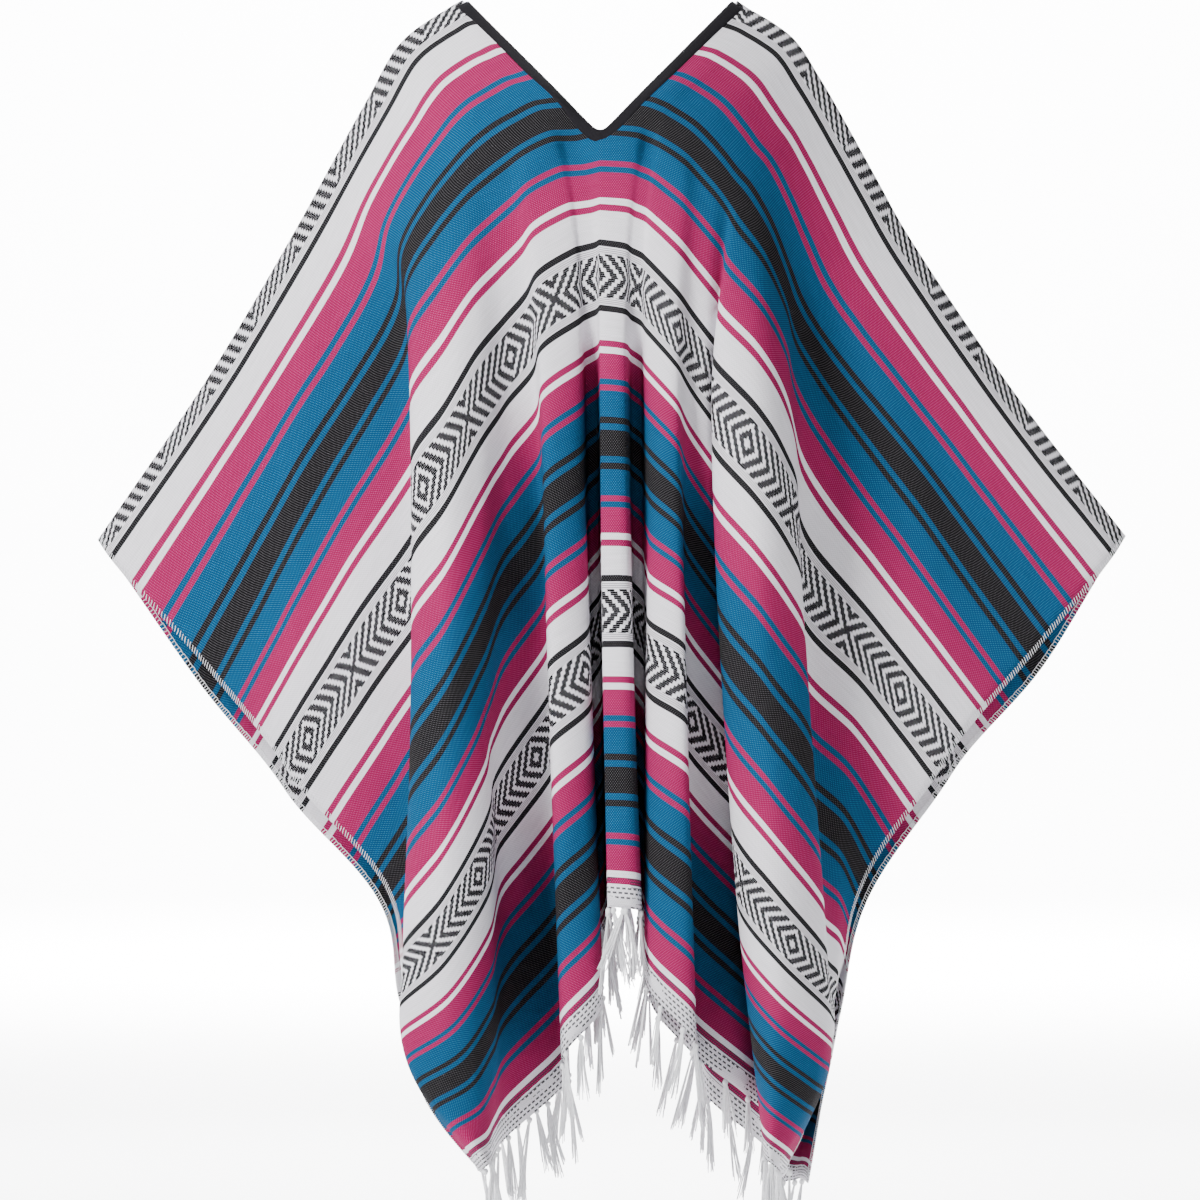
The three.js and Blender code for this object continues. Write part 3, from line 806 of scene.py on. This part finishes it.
ease = np.exp(-((from_tip / TIP_EASE) ** 2))[:, None]
for step in range(TIP_PASSES[1]):
    for j, (margin, _) in enumerate(SECTION):
        passes = TIP_PASSES[0] + (TIP_PASSES[1] - TIP_PASSES[0]) * max(0.0, margin) / BINDING_WIDTH
        if step < passes:
            rail = tape[:, j]
            tape[:, j] = rail + ease * (0.25 * (np.roll(rail, 1, axis=0) + np.roll(rail, -1, axis=0)) - 0.5 * rail)
count, around = tape.shape[:2]
tape_faces = []
for i in range(count):
    for j in range(around):
        k, m = (i + 1) % count, (j + 1) % around
        tape_faces.append((i * around + j, i * around + m, k * around + m, k * around + j))
binding = new_mesh("bound_neck", tape.reshape(-1, 3), tape_faces)
tape_length = np.concatenate([[0], np.cumsum(np.linalg.norm(np.diff(middle, axis=0), axis=1))])
layer = binding.data.uv_layers.new(name="cloth")
for loop in binding.data.loops:
    layer.data[loop.index].uv = (tape_length[loop.vertex_index // around], SECTION[loop.vertex_index % around][0])
choose(binding)
set_mode(mode="EDIT")
bpy.ops.mesh.select_all(action="SELECT")
bpy.ops.mesh.normals_make_consistent(inside=False)
set_mode(mode="OBJECT")
bpy.ops.object.shade_smooth()
print("the tape is", round(tape_length[-1], 3), "m long")

# %% The tape: near black, with a fine rib across it
tape_weave, tree, shader = soft_material("dark_tape", roughness=0.85, sheen=0.01)
split = tree.nodes.new("ShaderNodeSeparateXYZ")
tree.links.new(cloth_place(tree), split.inputs[0])
rib = size_of(wave_of(times(split.outputs[0], math.pi / 0.0011)))
fuzz = noise(tree, cloth_place(tree, 900, 300), 1.0)
tape_shades = [(0.0, srgb(10, 9, 12)), (1.0, srgb(36, 33, 40))]
tape_colour = ramp(tree, times(rib, fuzz), tape_shades, "LINEAR")
tree.links.new(tape_colour, shader.inputs["Base Color"])
raise_surface(tree, shader, plus(rib, fuzz), 0.0003, 0.6)
binding.data.materials.append(tape_weave)
print("the binding wears", tape_weave.name)

# %% [markdown]
# ## The edge stitches
# The two selvages are overlocked: a pale thread goes over and over the edge, and a line of it runs along
# the cloth a little way in. One stitch is modelled by hand as a short piece of thread, a ring extruded along
# its length. Each copy is then bent over the edge, from the line on the front to the same line behind.

# %% One piece of thread, as a ring extruded in steps
def thread_template(name, sides, steps):
    """Places along a straight thread as (share of its length, angle), with its faces."""
    bpy.ops.object.select_all(action="DESELECT")
    bpy.ops.mesh.primitive_circle_add(vertices=sides, radius=1, fill_type="NOTHING")
    thread = bpy.context.object
    thread.name = name
    set_mode(mode="EDIT")
    bpy.ops.mesh.select_all(action="SELECT")
    for _ in range(steps):
        bpy.ops.mesh.extrude_region_move(TRANSFORM_OT_translate={"value": (0, 0, 1 / steps)})
    bpy.ops.mesh.select_all(action="SELECT")
    bpy.ops.mesh.normals_make_consistent(inside=False)
    set_mode(mode="OBJECT")
    places = np.array([(v.co.z, math.atan2(v.co.y, v.co.x)) for v in thread.data.vertices])
    # Edit mode lists faces in a different order each run, so they are put in a fixed one.
    loops = sorted(tuple(face.vertices) for face in thread.data.polygons)
    bpy.data.objects.remove(thread)
    return places, loops


def lay_thread(template, path, radius, taper=0.0):
    """The template bent along a path of points; returns its vertices."""
    places, _ = template
    path = np.asarray(path, float)
    at = places[:, 0] * (len(path) - 1)
    centre = spline(path, at)
    runs = spline(path, np.minimum(at + 0.02, len(path) - 1)) - spline(path, np.maximum(at - 0.02, 0))
    runs /= np.maximum(np.linalg.norm(runs, axis=1, keepdims=True), 1e-12)
    side = np.cross(runs, np.where(abs(runs[:, 1:2]) < 0.8, [0, 1, 0], [1, 0, 0]))
    side /= np.linalg.norm(side, axis=1, keepdims=True)
    up = np.cross(runs, side)
    width = radius * (1 - taper * places[:, 0:1])
    turn = places[:, 1:2]
    return centre + width * (np.cos(turn) * side + np.sin(turn) * up)


class ThreadPile:
    """Collects many bent threads into one mesh."""

    def __init__(self):
        self.vertices, self.faces, self.count = [], [], 0

    def add(self, vertices, faces):
        self.faces += [tuple(i + self.count for i in face) for face in faces]
        self.vertices.append(vertices)
        self.count += len(vertices)

    def make(self, name):
        piece = new_mesh(name, np.vstack(self.vertices), self.faces)
        piece.data.polygons.foreach_set("use_smooth", [True] * len(piece.data.polygons))
        print(name, "has", sum(len(face) - 2 for face in self.faces), "triangles")
        return piece


# %% Whip the selvages
STITCH_PITCH, STITCH_IN, STITCH_THICK = 0.0036, 0.0056, 0.00040
rng = np.random.default_rng(7)
stitch = thread_template("stitch", sides=4, steps=6)
line = thread_template("line_stitch", sides=4, steps=3)
overlock = ThreadPile()
stitch_v = np.arange(-LENGTH + 0.004, LENGTH - 0.004, STITCH_PITCH)
lift = PANEL_THICK / 2 + STITCH_THICK * 0.7
for side in FOLDS:
    for v in stitch_v:
        slip = rng.uniform(-0.0005, 0.0005, 3)
        inner_place, out = from_selvage(side, v, STITCH_IN + slip[0])
        half_place, half_out = from_selvage(side, v + 0.0010 + slip[1], STITCH_IN / 2)
        edge_place, edge_out = from_selvage(side, v + 0.0020 + slip[2], 0.0001)
        next_place, next_out = from_selvage(side, v + STITCH_PITCH, STITCH_IN + slip[0])
        away = edge_place - half_place
        away /= np.linalg.norm(away)
        path = [
            inner_place + out * lift,
            half_place + half_out * lift,
            edge_place + edge_out * lift * 0.8 + away * 0.0002,
            edge_place - edge_out * lift * 0.8 + away * 0.0002,
            half_place - half_out * lift,
            inner_place - out * lift,
        ]
        overlock.add(lay_thread(stitch, path, STITCH_THICK), stitch[1])
        crest = (inner_place + next_place) / 2 + out * (lift + 0.0003)
        ends = [inner_place + out * lift, crest, next_place + next_out * lift]
        overlock.add(lay_thread(line, ends, STITCH_THICK), line[1])
edge_stitches = overlock.make("edge_stitches")

# %% [markdown]
# ## The fringe
# The warp threads that are left over at each end are knotted in small bunches, so that the last wefts can't
# slip off. A bunch is a knot and two dozen limp threads that fan out a little. They hang down, but a bunch at
# the foot of a slanted fold keeps some of its slant. The knot is modelled once from a ball, pressed flatter
# from front to back, made taller and given a wavy surface, and every bunch gets a copy.

# %% One knot, pressed from a ball
bpy.ops.object.select_all(action="DESELECT")
bpy.ops.mesh.primitive_uv_sphere_add(segments=8, ring_count=6, radius=1)
ball = bpy.context.object
set_mode(mode="EDIT")
bpy.ops.mesh.select_all(action="SELECT")
bpy.ops.transform.resize(value=(1.0, 0.8, 1.15))
set_mode(mode="OBJECT")
KNOT = np.array([v.co[:] for v in ball.data.vertices])
KNOT *= 1 + 0.12 * np.sin(3 * np.arctan2(KNOT[:, 1:2], KNOT[:, 0:1]) + 4 * KNOT[:, 2:3])
KNOT_FACES = sorted(tuple(face.vertices) for face in ball.data.polygons)
bpy.data.objects.remove(ball)
print("a knot has", len(KNOT_FACES), "faces")

# %% Hang the bunches from both ends
BUNCH_PITCH, BUNCH_THREADS, THREAD_THICK, KNOT_SIZE = 0.0330, 24, 0.00062, 0.0032
MIDDLE_PITCH, MIDDLE_HALF = 0.009, 0.030
HEM_LEAN, KNOT_DROP, CUT, FAN = 0.35, 0.0035, (0.62, 0.95), (0.0034, 0.0075)
strand = thread_template("fringe_thread", sides=4, steps=6)
FRINGES = {}
for name, end in (("fringe_front", 1), ("fringe_back", -1)):
    pile = ThreadPile()
    row, before = (-1, -3) if end > 0 else (0, 2)
    for side, grid in GRID.items():
        u = np.abs(grid["u"][row])
        crowded = np.arange(MIDDLE_PITCH / 2, MIDDLE_HALF, MIDDLE_PITCH)
        others = np.arange(MIDDLE_HALF + BUNCH_PITCH / 2, u[-1] - 0.002, BUNCH_PITCH)
        stops = np.concatenate([crowded, others])
        for number, stop in enumerate(stops + rng.uniform(-0.0045, 0.0045, len(stops))):
            hem, above, out = (
                np.array([np.interp(stop, u, part[:, k]) for k in range(3)])
                for part in (grid["place"][row], grid["place"][before], grid["out"][row])
            )
            warp = (hem - above) / np.linalg.norm(hem - above)
            lean = HEM_LEAN * warp + (1 - HEM_LEAN) * np.array([0, 0, -1.0])
            lean += np.array([rng.normal(0, 0.12), rng.normal(0, 0.04), 0])
            lean /= np.linalg.norm(lean)
            wide = np.cross(lean, out)
            wide /= np.linalg.norm(wide)
            top = hem + warp * KNOT_DROP
            pile.add(top + KNOT * KNOT_SIZE, KNOT_FACES)
            length = FRINGE_LENGTH * rng.uniform(*CUT)
            fan = rng.uniform(*FAN)
            bend = rng.normal(0, 0.004)
            for _ in range(BUNCH_THREADS):
                across, through = rng.uniform(-1, 1), rng.uniform(-1, 1)
                reach = length * rng.uniform(0.74, 1.0)
                path = []
                for share in np.linspace(0, 1, 5):
                    open_out = fan * share**0.7 + 0.0008
                    wave = 0.0012 * math.sin(5 * share + 3 * across) * share
                    path.append(
                        top
                        + lean * reach * share
                        + wide * (across * open_out + bend * share**2 + wave)
                        + out * (through * open_out * 0.35)
                    )
                pile.add(lay_thread(strand, path, THREAD_THICK, 0.3), strand[1])
    FRINGES[name] = pile.make(name + "_bunches")

# %% Yarn for the stitches and the fringe
yarn_white, tree, shader = soft_material("fringe_yarn", roughness=0.85, sheen=0.05)
source = tree.nodes.new("ShaderNodeTexCoord")
stretch = tree.nodes.new("ShaderNodeMapping")
stretch.inputs["Scale"].default_value = (1, 1, 0.3)
tree.links.new(source.outputs["Object"], stretch.inputs["Vector"])
fibre = noise(tree, stretch.outputs[0], 700.0, 3)
fibre_colour = ramp(tree, fibre, [(0.25, srgb(222, 222, 226)), (0.7, srgb(250, 250, 252))], "LINEAR")
tree.links.new(fibre_colour, shader.inputs["Base Color"])
raise_surface(tree, shader, fibre, 0.0002, 0.5)
for piece in (edge_stitches, *FRINGES.values()):
    piece.data.materials.append(yarn_white)
print("yarn on", 1 + len(FRINGES), "pieces")

# %% [markdown]
# ## Floor, light and camera
# The garment hangs in the air as if its wearer stood still, over a pale floor that ends far behind it in a pale
# wall. Two soft washes light the floor and the wall. A key from the upper left puts shade in the folds, and a
# weak fill from the right opens it a little.

# %% Floor and wall
ROOM, FLOOR_BELOW, WALL_HEIGHT, COVE = 34, 0.09, 9, 2.5
low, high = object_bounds()
bpy.ops.object.select_all(action="DESELECT")
bpy.ops.mesh.primitive_plane_add(size=ROOM, location=(0, 0, low[2] - FLOOR_BELOW))
floor = bpy.context.object
floor.name = "floor"
set_mode(mode="EDIT")
bpy.ops.mesh.select_mode(type="EDGE")
bpy.ops.mesh.select_all(action="DESELECT")
edit = bmesh.from_edit_mesh(floor.data)
for edge in edit.edges:
    edge.select = all(vertex.co.y > 0 for vertex in edge.verts)
bmesh.update_edit_mesh(floor.data)
bpy.ops.mesh.extrude_region_move(TRANSFORM_OT_translate={"value": (0, 0, WALL_HEIGHT)})
set_mode(mode="OBJECT")
bend = floor.modifiers.new("bend", "BEVEL")
bend.width = COVE
bend.segments = 10
bend.limit_method = "ANGLE"
choose(floor)
bpy.ops.object.modifier_apply(modifier=bend.name)
bpy.ops.object.shade_smooth()
paint = bpy.data.materials.new("pale_paint")
paint.use_nodes = True
coat = paint.node_tree.nodes["Principled BSDF"].inputs
coat["Base Color"].default_value = srgb(250, 250, 251)
coat["Roughness"].default_value = 0.95
coat["Specular IOR Level"].default_value = 0.1
floor.data.materials.append(paint)
print("the floor lies at", round(low[2] - FLOOR_BELOW, 3), "m")

# %% Lights and world
def soft_light(name, place, aim, size, watts):
    light = bpy.data.lights.new(name, "AREA")
    light.energy, light.size = watts, size
    lamp = bpy.data.objects.new(name, light)
    lamp.location = place
    direction = np.array(aim) - np.array(place)
    lamp.rotation_euler = (
        math.atan2(math.hypot(direction[0], direction[1]), -direction[2]),
        0,
        math.atan2(direction[1], direction[0]) - math.pi / 2,
    )
    bpy.context.scene.collection.objects.link(lamp)


MIDDLE = (0, 0, -0.65)
soft_light("key", (-2.5, -2.9, 1.8), MIDDLE, 1.2, 360)
soft_light("fill", (2.6, -4.0, 0.2), MIDDLE, 3.0, 48)
soft_light("floor_wash", (0, 2.5, 3.2), (0, 8.0, -1.5), 3.0, 2600)
soft_light("back_wash", (0, 9.0, 5.0), (0, 17.0, -0.5), 5.0, 9500)
world = bpy.data.worlds.new("pale_room")
world.use_nodes = True
sky = world.node_tree.nodes["Background"].inputs
sky["Color"].default_value = (0.96, 0.97, 1.0, 1)
sky["Strength"].default_value = 0.27
bpy.context.scene.world = world
print("four soft lights and a pale room")

# %% Camera, straight on from the front with a long lens
SEEN, AWAY = 1.308, 9.0
lens = bpy.data.cameras.new("front_camera")
lens.sensor_width = 36
lens.lens = 36 * AWAY / SEEN
camera = bpy.data.objects.new("front_camera", lens)
camera.location = (0.003, -0.1 - AWAY, -0.662)
camera.rotation_euler = (math.radians(90), 0, 0)
bpy.context.scene.collection.objects.link(camera)
bpy.context.scene.camera = camera
print("the lens is", round(lens.lens, 1), "mm")

# %% [markdown]
# ## The pieces in place of the plain solids
# Each piece hides the plain solids it stands for and rides on the root body. The table also names the
# finish each piece takes.

# %% Hide the plain solids and attach the pieces
STANDS_FOR = (
    (panel, ("woven_front", "woven_back"), "striped_weave"),
    (binding, ("neck_binding",), "dark_tape"),
    (FRINGES["fringe_front"], ("fringe_front",), "fringe_yarn"),
    (FRINGES["fringe_back"], ("fringe_back",), "fringe_yarn"),
)
for piece, nodes, finish in STANDS_FOR:
    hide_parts(*nodes)
    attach(piece, "root")
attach(edge_stitches, "root")
